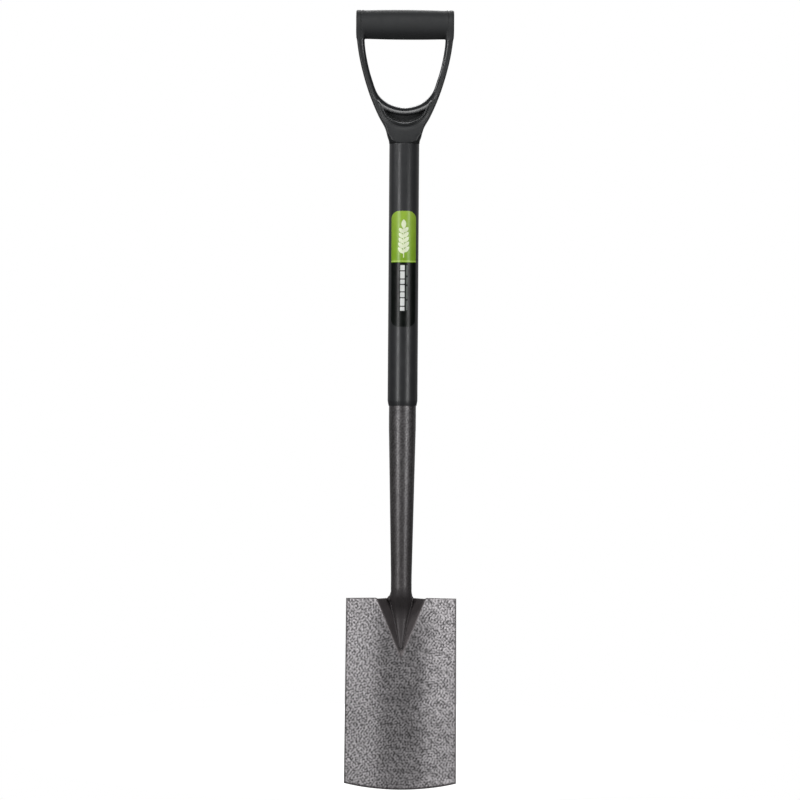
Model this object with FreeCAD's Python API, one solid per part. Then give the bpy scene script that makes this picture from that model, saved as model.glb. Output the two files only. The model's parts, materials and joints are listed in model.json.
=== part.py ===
import FreeCAD, Part
import os
from math import cos, radians, sin, sqrt

# Border spade.  Millimetres, +Z up the shaft, front faces -Y.
# Origin: the lowest point of the cutting edge, under the shaft axis.

V = FreeCAD.Vector

# blade, pressed from sheet
BLADE_TOP_Z = 242.2
BLADE_TOP_WIDTH = 138.3
BLADE_BOTTOM_WIDTH = 140.9
EDGE_ARC_R = 263.0
SHEET = 2.0
BLADE_CENTRE_Y = -3.0
DISH_SLOPE = 0.24
DISH_FLAT = 24.0
DISH_ROUND = 13.0
BEVEL_HEIGHT = 2.4
BEVEL_DEPTH = 1.3

# V-shaped recess pressed back into the blade for the shaft
FROG_HALF_WIDTH = 30.0
FROG_TIP_Z = 168.5
FROG_WALL_SLOPE = 0.9
FROG_FLOOR_TIP = 5.0
FROG_FLOOR_TOP = 17.0
FROG_BLEND = 1.2
FROG_EDGE_DROP = 1.2

# shaft tube
TUBE_R = 17.0
TUBE_WALL = 1.5
TUBE_TOP_Z = 812.0
TAPER_TOP_Z = 458.0
TAPER_BOTTOM_Z = 268.0
NARROW_R = 13.05

# swaged foot of the tube: height, front y, rear y, half width
SWAGE = (
    (262.0, -13.05, 13.05, 13.05),
    (252.0, -12.7, 12.9, 13.1),
    (243.0, -10.4, 12.4, 12.9),
    (236.0, -6.6, 11.6, 12.2),
    (228.0, -2.4, 10.6, 10.6),
    (218.0, 0.2, 8.8, 8.4),
    (206.0, 0.4, 6.4, 6.2),
    (193.0, -0.6, 3.1, 3.9),
    (178.0, -2.6, -0.6, 1.6),
)

# weld beads either side of the tube where it meets the blade: height, radius;
# above the blade's edge the radius is a share of that side's fillet
WELD_RADII = ((249.0, 0.08), (245.6, 0.26), (243.6, 0.5), (241.4, 1.0), (236.0, 2.0), (226.0, 1.8),
              (214.0, 1.5), (202.0, 1.2), (191.0, 0.9), (179.0, 0.6))
WELD_SHARED_Z = 240.0
LEFT_FILLET_R = 3.4
RIGHT_FILLET_R = 2.0
REAR_WELD_R = 2.3
REAR_WELD_RADIUS_STEP = 0.16
REAR_WELD_PATH_R = 13.6

# sleeve over the upper shaft
SLEEVE_R = 18.85
SLEEVE_CLEAR = 0.05
SLEEVE_BOTTOM_Z = 484.0
SLEEVE_TOP_Z = 814.0
LIP_R = 17.6
LIP_HEIGHT = 5.0

# handle moulding
NECK_R = 19.5
NECK_Z = 814.2
SPIGOT_R = 15.2
SPIGOT_BORE_R = 11.5
SPIGOT_BOTTOM_Z = 754.0
SPIGOT_BORE_TOP_Z = 806.0
GRIP_R = 18.65
GRIP_END_R = 17.7
GRIP_Z = 964.35
GRIP_HALF = 61.1
CAP = 6.1
CAP_R = 18.0
CAP_ROUND = 1.6
SEAM = 0.7
POCKET_LINE_Z = 836.6
POCKET_LINE_R = 33.0
POCKET_LINE_RIM = 5.6
POCKET_BEAD = 3.7
POCKET_SIDE_BEAD = 1.7
POCKET_FLOOR_Y = 7.0
SADDLE_THICK = 9.8
BEAD_STEP = 2.2
OPENING_TOP_HALF = 51.6

# handle outlines in front view: half width, height
OUTER = ((19.6, 814.2), (21.1, 822.0), (24.2, 834.0), (32.3, 849.0), (42.5, 872.0),
         (52.3, 902.0), (59.1, 933.0), (60.9, 948.0), (61.1, 966.0))
OPENING = ((0.0, 859.4), (18.7, 864.0), (32.6, 875.0), (41.1, 895.0),
           (47.1, 917.5), (50.4, 938.0), (51.1, 947.0))
# handle depth in side view: half depth, height, share of the bead's step outside the bead
DEPTH = ((19.0, 814.2, 0.18), (18.9, 832.0, 0.95), (18.4, 841.0, 1.0), (16.9, 850.0, 1.0),
         (14.9, 860.0, 0.57), (12.8, 870.0, 0.02), (11.0, 895.0, 0.0), (11.4, 920.0, 0.0),
         (14.4, 946.0, 0.0), (17.9, 964.35, 0.0))
# rounding of the neck into the flat arms: height, half width, half depth
NECK_ROUND = ((826.0, 24.0, 19.6), (840.0, 36.0, 19.8), (856.0, 66.0, 20.0), (880.0, 140.0, 20.2))
# how far construction solids reach past the handle
CLEAR = 20.0

# label film on the sleeve
LABEL_BOTTOM_Z = 583.3
LABEL_TOP_Z = 728.5
LABEL_HALF_WIDTH = 15.3
LABEL_CORNER_R = 9.5
FILM = 0.15

# countersunk screw through sleeve and tube into the spigot
SCREW_Z = 790.0
SCREW_HEAD_R = 4.2
SCREW_SHANK_R = 2.1
SCREW_HEAD_LEN = 2.4
SCREW_LEN = 11.0
SOCKET_R = 1.3
SOCKET_DEPTH = 1.6


def smooth_max(a, b, blend):
    return 0.5 * (a + b + sqrt((a - b) ** 2 + blend ** 2))


def frog_depth(x, z):
    """How far the V recess is pressed back at a point of the blade."""
    t = (z - FROG_TIP_Z) / (BLADE_TOP_Z - FROG_TIP_Z)
    across = sqrt(x * x + FROG_BLEND ** 2) - FROG_BLEND
    wall = FROG_WALL_SLOPE * (FROG_HALF_WIDTH * t - across)
    floor = FROG_FLOOR_TIP + (FROG_FLOOR_TOP - FROG_FLOOR_TIP) * t
    depth = -smooth_max(-wall, -floor, 2 * FROG_BLEND)
    return smooth_max(depth, 0, FROG_BLEND)


def blade_front(x, z):
    """Y of the blade's front face: shallow dish plus the recess."""
    flank = smooth_max(abs(x) - DISH_FLAT, 0, DISH_ROUND)
    dish = DISH_SLOPE * (flank - smooth_max(-DISH_FLAT, 0, DISH_ROUND))
    return BLADE_CENTRE_Y - dish + frog_depth(x, z)


def blade_back(x, z):
    """Y of the back face, one sheet thickness away square to the front."""
    step = 0.05
    dx = (blade_front(x + step, z) - blade_front(x - step, z)) / (2 * step)
    dz = (blade_front(x, z + step) - blade_front(x, z - step)) / (2 * step)
    return blade_front(x, z) + SHEET * sqrt(1 + dx * dx + dz * dz)


def edge_z(x):
    return EDGE_ARC_R - sqrt(EDGE_ARC_R ** 2 - x * x)


def sheet_surface(height_of):
    """Smooth surface over an oversize rectangle around the blade."""
    half = BLADE_BOTTOM_WIDTH / 2 + 4
    xs = [half * i / 40 for i in range(-40, 41)]
    zs = [-4 + (BLADE_TOP_Z + 8) * j / 66 for j in range(67)]
    rows = [[V(x, height_of(x, z), z) for z in zs] for x in xs]
    surface = Part.BSplineSurface()
    surface.interpolate(rows)
    return surface.toShape()


def blade_outline():
    """Front view of the blade as a face in the XZ plane."""
    half_top = BLADE_TOP_WIDTH / 2
    half_low = BLADE_BOTTOM_WIDTH / 2
    low = edge_z(half_low)
    frog = FROG_HALF_WIDTH + FROG_BLEND
    drop = BLADE_TOP_Z - FROG_EDGE_DROP
    arc = Part.Arc(V(-half_low, 0, low), V(0, 0, 0), V(half_low, 0, low)).toShape()
    corners = [
        V(half_low, 0, low),
        V(half_top, 0, BLADE_TOP_Z),
        V(frog + FROG_EDGE_DROP, 0, BLADE_TOP_Z),
        V(frog, 0, drop),
        V(-frog, 0, drop),
        V(-frog - FROG_EDGE_DROP, 0, BLADE_TOP_Z),
        V(-half_top, 0, BLADE_TOP_Z),
        V(-half_low, 0, low),
    ]
    sides = Part.makePolygon(corners)
    return Part.Face(Part.Wire([arc] + sides.Edges))


def bevel_cutter():
    """Ground bevel along the front of the cutting edge."""
    half = BLADE_BOTTOM_WIDTH / 2 + 3
    slope = BEVEL_DEPTH / BEVEL_HEIGHT
    xs = [half * i / 12 for i in range(-12, 13)]
    edges = []
    for rise in (-3.0, 3 * BEVEL_HEIGHT):
        points = []
        for x in xs:
            z = edge_z(x)
            y = blade_front(x, z) + BEVEL_DEPTH - slope * rise
            points.append(V(x, y, z + rise))
        curve = Part.BSplineCurve()
        curve.interpolate(points)
        edges.append(curve.toShape())
    face = Part.makeRuledSurface(edges[0], edges[1])
    return face.extrude(V(0, -20, 0))


def make_blade():
    front = sheet_surface(blade_front)
    back = sheet_surface(blade_back)
    ribs = []
    for a, b in zip(front.Edges, back.Edges):
        ribs.append(Part.makeRuledSurface(a, b))
    shell = Part.makeShell([front, back] + ribs)
    shell.sewShape()
    sheet = Part.Solid(shell)
    if sheet.Volume < 0:
        sheet.reverse()
    outline = blade_outline().extrude(V(0, 80, 0))
    outline.translate(V(0, -40, 0))
    blade = sheet.common(outline)
    return blade.cut(bevel_cutter())


def turned(profile):
    """Solid of revolution about the shaft axis from (radius, z) points."""
    points = [V(r, 0, z) for r, z in profile]
    face = Part.Face(Part.makePolygon(points + points[:1]))
    return face.revolve(V(0, 0, 0), V(0, 0, 1), 360)


def swaged_body(wall):
    """Skin of the tube foot, or its bore when given a wall thickness."""
    wires = []
    for z, front, rear, half in SWAGE:
        centre = V(0, (front + rear) / 2, z)
        depth = (rear - front) / 2 - wall
        width = half - wall
        if depth < 0.4:
            break
        if width - depth < 0.01:
            ring = Part.Circle(centre, V(0, 0, 1), depth)
        else:
            ring = Part.Ellipse(centre, width, depth)
        wires.append(Part.Wire(ring.toShape()))
    return Part.makeLoft(wires, True)


def tube_body(wall, end):
    """Skin of the round part of the tube, or its bore when given a wall thickness."""
    low = SWAGE[0][0]
    return turned(((0, low), (NARROW_R - wall, low), (NARROW_R - wall, TAPER_BOTTOM_Z),
                   (TUBE_R - wall, TAPER_TOP_Z), (TUBE_R - wall, end), (0, end)))


def make_tube():
    body = tube_body(0, TUBE_TOP_Z).fuse(swaged_body(0)).removeSplitter()
    hollow = tube_body(TUBE_WALL, TUBE_TOP_Z + 1).fuse(swaged_body(TUBE_WALL)).removeSplitter()
    return body.cut(hollow).cut(screw_body(0.15))


def swage_at(z):
    """Front y, rear y and half width of the tube foot at a height."""
    for high, low in zip(SWAGE, SWAGE[1:]):
        if z >= low[0]:
            t = (z - low[0]) / (high[0] - low[0])
            return [low[i] + t * (high[i] - low[i]) for i in (1, 2, 3)]
    return list(SWAGE[-1][1:])


def side_weld(side, fillet_r):
    """Bead down one flank of the tube foot, filling the corner to the recess wall."""
    wires = []
    for z, radius in WELD_RADII:
        front, rear, half = swage_at(z)
        middle = (front + rear) / 2
        if z > WELD_SHARED_Z:
            radius *= fillet_r
        centre = V(side * (half + 0.3 * radius), middle + 0.45 * (rear - middle), z)
        wires.append(Part.Wire(Part.Circle(centre, V(0, 0, 1), radius).toShape()))
    return Part.makeLoft(wires, True, True)


def largest(shape):
    return max(shape.Solids, key=lambda solid: solid.Volume)


def rear_weld():
    """Bead over the top edge of the recess, behind the tube."""
    z = BLADE_TOP_Z - FROG_EDGE_DROP + 0.4
    wires = []
    for i in range(-6, 7):
        angle = radians(10 * i)
        centre = V(REAR_WELD_PATH_R * sin(angle), REAR_WELD_PATH_R * cos(angle) + 0.2, z)
        radius = REAR_WELD_R - REAR_WELD_RADIUS_STEP * abs(i)
        ring = Part.Circle(centre, V(cos(angle), -sin(angle), 0), radius)
        wires.append(Part.Wire(ring.toShape()))
    return Part.makeLoft(wires, True)


def make_sleeve():
    bore = TUBE_R + SLEEVE_CLEAR
    sleeve = turned(((bore, SLEEVE_BOTTOM_Z), (LIP_R, SLEEVE_BOTTOM_Z),
                     (SLEEVE_R - 0.2, SLEEVE_BOTTOM_Z + LIP_HEIGHT),
                     (SLEEVE_R, SLEEVE_BOTTOM_Z + LIP_HEIGHT + 1.2),
                     (SLEEVE_R, SLEEVE_TOP_Z - 0.5), (SLEEVE_R - 0.5, SLEEVE_TOP_Z),
                     (bore, SLEEVE_TOP_Z)))
    return sleeve.cut(screw_body(0.1))


def spline(points):
    curve = Part.BSplineCurve()
    curve.interpolate([V(x, 0, z) for x, z in points])
    return curve


def inset(points, distance):
    """The same outline moved square to itself; positive is outward in X."""
    curve = spline(points)
    moved = []
    for i in range(15):
        u = curve.FirstParameter + (curve.LastParameter - curve.FirstParameter) * i / 14
        place = curve.value(u)
        along = curve.tangent(u)[0]
        moved.append((place.x + distance * along.z, place.z - distance * along.x))
    return moved


def mirrored_face(points, closing):
    """XZ face: a smooth outline and its mirror image, closed by straight lines."""
    right = spline(points)
    left = spline([(-x, z) for x, z in points])
    x1, z1 = points[-1]
    corners = [V(x1, 0, z1)] + [V(x, 0, z) for x, z in closing]
    corners += [V(-x, 0, z) for x, z in reversed(closing)] + [V(-x1, 0, z1)]
    edges = [right.toShape()] + Part.makePolygon(corners).Edges + [left.toShape()]
    if points[0][0] > 0:
        x0, z0 = points[0]
        edges.append(Part.makeLine(V(-x0, 0, z0), V(x0, 0, z0)))
    return Part.Face(Part.Wire(Part.__sortEdges__(edges)))


def both_ways(face, half):
    """Prism of an XZ face, reaching the same distance to front and back."""
    prism = face.extrude(V(0, 2 * half, 0))
    prism.translate(V(0, -half, 0))
    return prism


def depth_prism(step):
    """Side view of the handle below the grip, swept across its width."""
    outline = [(y - step * share, z) for y, z, share in DEPTH]
    front = Part.BSplineCurve()
    front.interpolate([V(0, -y, z) for y, z in outline])
    rear = Part.BSplineCurve()
    rear.interpolate([V(0, y, z) for y, z in outline])
    y0, z0 = outline[0]
    y1, z1 = outline[-1]
    edges = [
        front.toShape(),
        Part.makeLine(V(0, -y1, z1), V(0, y1, z1)),
        rear.toShape(),
        Part.makeLine(V(0, y0, z0), V(0, -y0, z0)),
    ]
    face = Part.Face(Part.Wire(Part.__sortEdges__(edges)))
    half = GRIP_HALF + CLEAR
    face.translate(V(-half, 0, 0))
    return face.extrude(V(2 * half, 0, 0))


def neck_round():
    """Rounds the neck from a circle at the sleeve out to the flat arms."""
    wires = []
    for z, wide, deep in ((NECK_Z, NECK_R, NECK_R - 0.01),) + NECK_ROUND:
        wires.append(Part.Wire(Part.Ellipse(V(0, 0, z), wide, deep).toShape()))
    half = GRIP_HALF + CLEAR
    depth = NECK_R + CLEAR
    flat_z = NECK_ROUND[-1][0]
    top = Part.makeBox(2 * half, 2 * depth, GRIP_Z + CLEAR - flat_z, V(-half, -depth, flat_z))
    return Part.makeLoft(wires, True).fuse(top)


def disc(radius):
    """XZ disc about the centre of the line round the pocket."""
    centre = V(0, 0, POCKET_LINE_Z + POCKET_LINE_R)
    return Part.Face(Part.Wire(Part.Circle(centre, V(0, 1, 0), radius).toShape()))


def inside_outline(distance):
    return mirrored_face(inset(OUTER, -distance), ((GRIP_HALF - distance, GRIP_Z + 10),))


def pocket_face():
    """Crescent between the bead and the saddle, as an XZ face."""
    bowl = disc(POCKET_LINE_R - POCKET_BEAD)
    bowl = bowl.common(inside_outline(POCKET_LINE_RIM + POCKET_SIDE_BEAD))
    saddle = inset(OPENING, SADDLE_THICK)
    saddle[0] = (0.0, saddle[0][1])
    return bowl.cut(mirrored_face(saddle, ((saddle[-1][0], GRIP_Z + 20),)))


def boss_face():
    """Region inside the line round the pocket, whose surface stands proud."""
    r = POCKET_LINE_R
    low = POCKET_LINE_Z + r
    corners = [V(-r, 0, low), V(r, 0, low), V(r, 0, GRIP_Z), V(-r, 0, GRIP_Z), V(-r, 0, low)]
    above = Part.Face(Part.makePolygon(corners))
    return disc(r).fuse(above).common(inside_outline(POCKET_LINE_RIM))


def make_grip():
    """Slightly barrelled crossbar with an end cap each side, behind a fine seam."""
    inner = GRIP_HALF - CAP
    corner = CAP_R - CAP_ROUND
    outer = GRIP_HALF - CAP_ROUND
    bend = CAP_ROUND * sin(radians(45))
    edges = [Part.Arc(V(-inner, 0, GRIP_END_R), V(0, 0, GRIP_R), V(inner, 0, GRIP_END_R)).toShape()]
    for side in (-1, 1):
        edges += Part.makePolygon([V(side * inner, 0, GRIP_END_R), V(side * inner, 0, CAP_R - 2 * SEAM),
                                   V(side * (inner + SEAM), 0, CAP_R - 2 * SEAM),
                                   V(side * (inner + SEAM), 0, CAP_R), V(side * outer, 0, CAP_R)]).Edges
        edges.append(Part.Arc(V(side * outer, 0, CAP_R),
                              V(side * (outer + bend), 0, corner + bend),
                              V(side * GRIP_HALF, 0, corner)).toShape())
        edges.append(Part.makeLine(V(side * GRIP_HALF, 0, corner), V(side * GRIP_HALF, 0, 0)))
    edges.append(Part.makeLine(V(-GRIP_HALF, 0, 0), V(GRIP_HALF, 0, 0)))
    face = Part.Face(Part.Wire(Part.__sortEdges__(edges)))
    grip = face.revolve(V(0, 0, 0), V(1, 0, 0), 360)
    grip.translate(V(0, 0, GRIP_Z))
    return grip


def make_spigot():
    """Hollow plug of the moulding that sits inside the tube."""
    spigot = turned(((0, SPIGOT_BOTTOM_Z), (SPIGOT_R - 1, SPIGOT_BOTTOM_Z),
                     (SPIGOT_R, SPIGOT_BOTTOM_Z + 3), (SPIGOT_R, NECK_Z + 1), (0, NECK_Z + 1)))
    bore = Part.makeCylinder(SPIGOT_BORE_R, SPIGOT_BORE_TOP_Z - SPIGOT_BOTTOM_Z,
                             V(0, 0, SPIGOT_BOTTOM_Z))
    return spigot.cut(bore)


def make_handle():
    reach = GRIP_R + CLEAR
    opening = mirrored_face(OPENING, ((OPENING_TOP_HALF, GRIP_Z + 6),))
    plan = mirrored_face(OUTER, ((GRIP_HALF, GRIP_Z),)).cut(opening)
    web = both_ways(plan, reach).common(depth_prism(BEAD_STEP))
    boss = both_ways(plan.common(boss_face()), reach).common(depth_prism(0))
    body = web.fuse(boss).common(neck_round())
    for side in (-1, 1):
        pocket = pocket_face().extrude(V(0, side * reach, 0))
        pocket.translate(V(0, side * POCKET_FLOOR_Y, 0))
        body = body.cut(pocket)
    handle = body.fuse(make_grip()).fuse(make_spigot())
    return handle.cut(screw_body(0.05)).removeSplitter()


def screw_body(gap):
    """Countersunk screw from the back of the sleeve, grown by a gap for its hole."""
    head = Part.makeCone(SCREW_SHANK_R + gap, SCREW_HEAD_R + gap, SCREW_HEAD_LEN,
                         V(0, SLEEVE_R - SCREW_HEAD_LEN, SCREW_Z), V(0, 1, 0))
    shank = Part.makeCylinder(SCREW_SHANK_R + gap, SCREW_LEN + gap,
                              V(0, SLEEVE_R - SCREW_LEN - gap, SCREW_Z), V(0, 1, 0))
    return head.fuse(shank)


def make_screw():
    socket = Part.makeCylinder(SOCKET_R, SOCKET_DEPTH,
                               V(0, SLEEVE_R - SOCKET_DEPTH, SCREW_Z), V(0, 1, 0))
    barrel = Part.makeCylinder(SLEEVE_R - 0.1, 4 * SCREW_HEAD_R, V(0, 0, SCREW_Z - 2 * SCREW_HEAD_R))
    return screw_body(0).cut(socket).common(barrel)


def make_label():
    """Printed film: a rounded oblong wrapped on the front of the sleeve."""
    film = turned(((SLEEVE_R, LABEL_BOTTOM_Z), (SLEEVE_R + FILM, LABEL_BOTTOM_Z),
                   (SLEEVE_R + FILM, LABEL_TOP_Z), (SLEEVE_R, LABEL_TOP_Z)))
    shape = Part.makeBox(2 * LABEL_HALF_WIDTH, 30, LABEL_TOP_Z - LABEL_BOTTOM_Z,
                         V(-LABEL_HALF_WIDTH, -30, LABEL_BOTTOM_Z))
    upright = [edge for edge in shape.Edges
               if abs(edge.tangentAt(edge.FirstParameter).y) > 0.9]
    return film.common(shape.makeFillet(LABEL_CORNER_R, upright))


def main():
    blade = make_blade()
    tube = make_tube()
    metal = blade.fuse(tube)
    parts = {
        "blade": blade,
        "shaft_tube": tube,
        "weld_left": largest(side_weld(-1, LEFT_FILLET_R).cut(metal)),
        "weld_right": largest(side_weld(1, RIGHT_FILLET_R).cut(metal)),
        "weld_rear": largest(rear_weld().cut(metal)),
        "shaft_sleeve": make_sleeve(),
        "handle_yoke": make_handle(),
        "handle_screw": make_screw(),
        "shaft_label": make_label(),
    }
    os.makedirs("parts", exist_ok=True)
    for name, shape in parts.items():
        box = shape.optimalBoundingBox()
        print(name, shape.isValid(), len(shape.Solids), round(shape.Volume / 1000, 3),
              [round(v, 2) for v in (box.XMin, box.XMax, box.YMin, box.YMax, box.ZMin, box.ZMax)])
        shape.exportStep("parts/" + name + ".step")


main()
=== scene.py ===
import json
from math import cos, pi, radians, sin

import bmesh
import bpy
import numpy as np
from mathutils import Matrix, Vector

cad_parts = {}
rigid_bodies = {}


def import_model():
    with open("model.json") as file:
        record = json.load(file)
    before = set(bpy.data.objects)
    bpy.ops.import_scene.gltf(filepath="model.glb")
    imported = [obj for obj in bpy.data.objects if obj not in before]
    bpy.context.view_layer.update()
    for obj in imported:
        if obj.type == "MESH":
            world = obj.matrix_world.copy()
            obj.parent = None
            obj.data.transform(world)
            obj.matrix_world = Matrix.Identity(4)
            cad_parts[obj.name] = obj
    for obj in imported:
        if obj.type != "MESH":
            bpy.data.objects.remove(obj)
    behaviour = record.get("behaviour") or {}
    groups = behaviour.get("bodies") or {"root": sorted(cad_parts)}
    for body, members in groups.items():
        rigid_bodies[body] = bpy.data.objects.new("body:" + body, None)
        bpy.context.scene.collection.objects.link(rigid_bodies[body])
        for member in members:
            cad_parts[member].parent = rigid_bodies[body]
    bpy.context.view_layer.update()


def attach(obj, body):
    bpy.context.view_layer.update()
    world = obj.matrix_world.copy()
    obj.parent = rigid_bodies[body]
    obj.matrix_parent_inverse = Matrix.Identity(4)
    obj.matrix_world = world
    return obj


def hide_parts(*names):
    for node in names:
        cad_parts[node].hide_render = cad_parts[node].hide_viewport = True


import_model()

MM = 0.001

# ---------------------------------------------------------------- sizes, mm
BLADE_TOP_Z = 242.2
BLADE_TOP_WIDTH = 138.3
BLADE_BOTTOM_WIDTH = 140.9
EDGE_ARC_R = 263.0
SHEET = 2.0
BLADE_CENTRE_Y = -3.0
DISH_SLOPE = 0.24
DISH_FLAT = 24.0
DISH_ROUND = 13.0
BEVEL_HEIGHT = 2.4
BEVEL_DEPTH = 1.3

FROG_HALF_WIDTH = 30.0
FROG_TIP_Z = 168.5
FROG_WALL_SLOPE = 0.9
FROG_FLOOR_TIP = 5.0
FROG_FLOOR_TOP = 17.0
FROG_BLEND = 1.0
FROG_EDGE_DROP = 1.2

TUBE_R = 17.0
TUBE_TOP_Z = 812.0
NARROW_R = 13.05
TAPER_TOP_Z = 458.0
TAPER_BOTTOM_Z = 268.0
SWAGE = (
    (262.0, -13.05, 13.05, 13.05),
    (252.0, -12.7, 12.9, 13.1),
    (243.0, -10.4, 12.4, 12.9),
    (236.0, -6.6, 11.6, 12.2),
    (228.0, -2.4, 10.6, 10.6),
    (218.0, 0.2, 8.8, 8.4),
    (206.0, 0.4, 6.4, 6.2),
    (193.0, -0.6, 3.1, 3.9),
    (178.0, -2.6, -0.6, 1.6),
)

# weld radius against height: shares of the fillet's radius above WELD_SHARED_Z, mm below it
WELD_RADII = ((249.0, 0.08), (245.6, 0.26), (243.6, 0.5), (241.4, 1.0), (236.0, 2.0), (226.0, 1.8),
              (214.0, 1.5), (202.0, 1.2), (191.0, 0.9), (179.0, 0.6))
WELD_SHARED_Z = 240.0
LEFT_FILLET_R = 3.4
RIGHT_FILLET_R = 2.0
REAR_WELD_R = 2.3
REAR_WELD_RADIUS_STEP = 0.16
REAR_WELD_PATH_R = 13.6
SIDE_RIPPLE = 3.4
REAR_RIPPLE = 3.0

SLEEVE_R = 18.85
SLEEVE_CLEAR = 0.05
SLEEVE_BOTTOM_Z = 484.0
SLEEVE_TOP_Z = 814.0
LIP_R = 17.6
LIP_HEIGHT = 5.0

NECK_R = 19.5
NECK_Z = 814.2
GRIP_R = 18.65
GRIP_END_R = 17.7
GRIP_Z = 964.35
GRIP_HALF = 61.1
CAP = 6.1
CAP_R = 18.0
CAP_ROUND = 1.6
SEAM = 0.7
ARM_CHAMFER = 3.2
CHAMFER_SLOPE = 0.7
SADDLE_R = 7.6
SADDLE_THICK = 9.8
POCKET_LINE_Z = 836.6
POCKET_LINE_R = 33.0
POCKET_LINE_RIM = 5.6
POCKET_BEAD = 3.7
POCKET_FLOOR_Y = 7.0
BEAD_STEP = 2.2
SPIGOT_R = 15.2
SPIGOT_BORE_R = 11.5
SPIGOT_BOTTOM_Z = 754.0
SPIGOT_TOP_Z = 815.0
OUTER = ((19.6, 814.2), (21.1, 822.0), (24.2, 834.0), (32.3, 849.0), (42.5, 872.0),
         (52.3, 902.0), (59.1, 933.0), (60.9, 948.0), (61.1, 966.0))
OPENING = ((0.0, 859.4), (18.7, 864.0), (32.6, 875.0), (41.1, 895.0),
           (47.1, 917.5), (50.4, 938.0), (51.1, 947.0))
DEPTH = ((19.0, 814.2), (18.9, 832.0), (18.4, 841.0), (16.9, 850.0), (12.8, 870.0),
         (11.0, 895.0), (11.4, 920.0), (14.4, 946.0), (18.3, 964.35))

LABEL_BOTTOM_Z = 583.3
LABEL_TOP_Z = 728.5
LABEL_SPLIT_Z = 664.0
LABEL_HALF_WIDTH = 15.3
LABEL_CORNER_R = 9.5
FILM_RAISE = 0.16
PRINT_TOP_Z = 660.5
PRINT_EDGE = 0.1

SCREW_Z = 790.0

HAMMER_MM = (2.7, 3.6)
HAMMER_LIFT = 0.035
OUTLINE_POINTS = 260


# ---------------------------------------------------------------- camera and light, metres
CAMERA_DISTANCE = 3.5
FRAME_WIDTH = 1.0088
CAMERA_X = -0.0032
CAMERA_Z = 0.4913
CAMERA_ROLL = 0.40
WORLD_RAMP = (0.0, 0.75)
WORLD_FRONT = 0.03
WORLD_BACK = 0.42
WORLD_BELOW = 0.12
FLOOR_GLOW = 1.0
FLOOR_Y = 0.45
FLOOR_Z = -0.001
LIGHT_AIM_Z = 0.49
# name, azimuth from the front, elevation, distance, width, height, lean, watts
PANELS = (
    ("key_left", -38, 3, 2.0, 0.34, 1.5, 0, 16.0),
    ("key_right", 39, -2, 2.0, 0.50, 1.25, 4, 13.0),
    ("overhead", 0, 50, 1.8, 0.5, 0.9, 0, 10.0),
    ("side_left", -70, 32, 2.2, 0.35, 0.6, 0, 7.0),
    ("back_left", -165, 50, 2.2, 1.0, 1.0, 0, 16.0),
    ("back_right", 160, 45, 2.2, 1.0, 1.0, 0, 12.0),
)


# ---------------------------------------------------------------- helpers

def smoothstep(lo, hi, x):
    t = np.clip((x - lo) / (hi - lo), 0, 1)
    return t * t * (3 - 2 * t)


def smooth_max(a, b, blend):
    return 0.5 * (a + b + np.sqrt((a - b) ** 2 + blend ** 2))


def smooth_min(a, b, blend):
    return -smooth_max(-a, -b, blend)


def hermite(xs, ys, x):
    """Smooth curve through a few points, by cubic pieces."""
    xs = np.asarray(xs, float)
    ys = np.asarray(ys, float)
    slopes = np.gradient(ys, xs)
    x = np.clip(x, xs[0], xs[-1])
    i = np.clip(np.searchsorted(xs, x) - 1, 0, len(xs) - 2)
    h = xs[i + 1] - xs[i]
    t = (x - xs[i]) / h
    a = (1 + 2 * t) * (1 - t) ** 2
    b = t * (1 - t) ** 2
    c = t * t * (3 - 2 * t)
    d = t * t * (t - 1)
    return a * ys[i] + b * h * slopes[i] + c * ys[i + 1] + d * h * slopes[i + 1]


def lattice(ix, iy, iz, seed):
    """Repeatable pseudo-random numbers on an integer lattice, 0 to 1."""
    n = (ix.astype(np.int64) * 374761393 + iy.astype(np.int64) * 668265263
         + iz.astype(np.int64) * 2147483647 + seed * 1274126177) & 0xFFFFFFFF
    n = ((n ^ (n >> 13)) * 1274126177) & 0xFFFFFFFF
    n = ((n ^ (n >> 16)) * 2246822519) & 0xFFFFFFFF
    return ((n ^ (n >> 13)) & 0xFFFFFF) / float(0xFFFFFF)


def value_noise(u, v, size, seed):
    u = u / size
    v = v / size
    iu = np.floor(u)
    iv = np.floor(v)
    fu = u - iu
    fv = v - iv
    fu = fu * fu * (3 - 2 * fu)
    fv = fv * fv * (3 - 2 * fv)
    z = iu * 0
    n00 = lattice(iu, iv, z, seed)
    n10 = lattice(iu + 1, iv, z, seed)
    n01 = lattice(iu, iv + 1, z, seed)
    n11 = lattice(iu + 1, iv + 1, z, seed)
    return (n00 * (1 - fu) + n10 * fu) * (1 - fv) + (n01 * (1 - fu) + n11 * fu) * fv


WAVES = 72
random = np.random.default_rng(5)
WAVE_AXES = random.normal(size=(WAVES, 3))
WAVE_AXES /= np.linalg.norm(WAVE_AXES, axis=1)[:, None]
WAVE_AXES *= (2 * pi / random.uniform(HAMMER_MM[0], HAMMER_MM[1], WAVES))[:, None]
WAVE_PHASES = random.uniform(0, 2 * pi, WAVES)


def hammered(x, y, z):
    """Relief of hammered paint, about -1 in the pits to 1 on the beads."""
    total = np.zeros(np.shape(x))
    for k, phase in zip(WAVE_AXES, WAVE_PHASES):
        total += np.cos(k[0] * x + k[1] * y + k[2] * z + phase)
    return np.tanh(0.8 * total * (2 / WAVES) ** 0.5)


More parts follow.
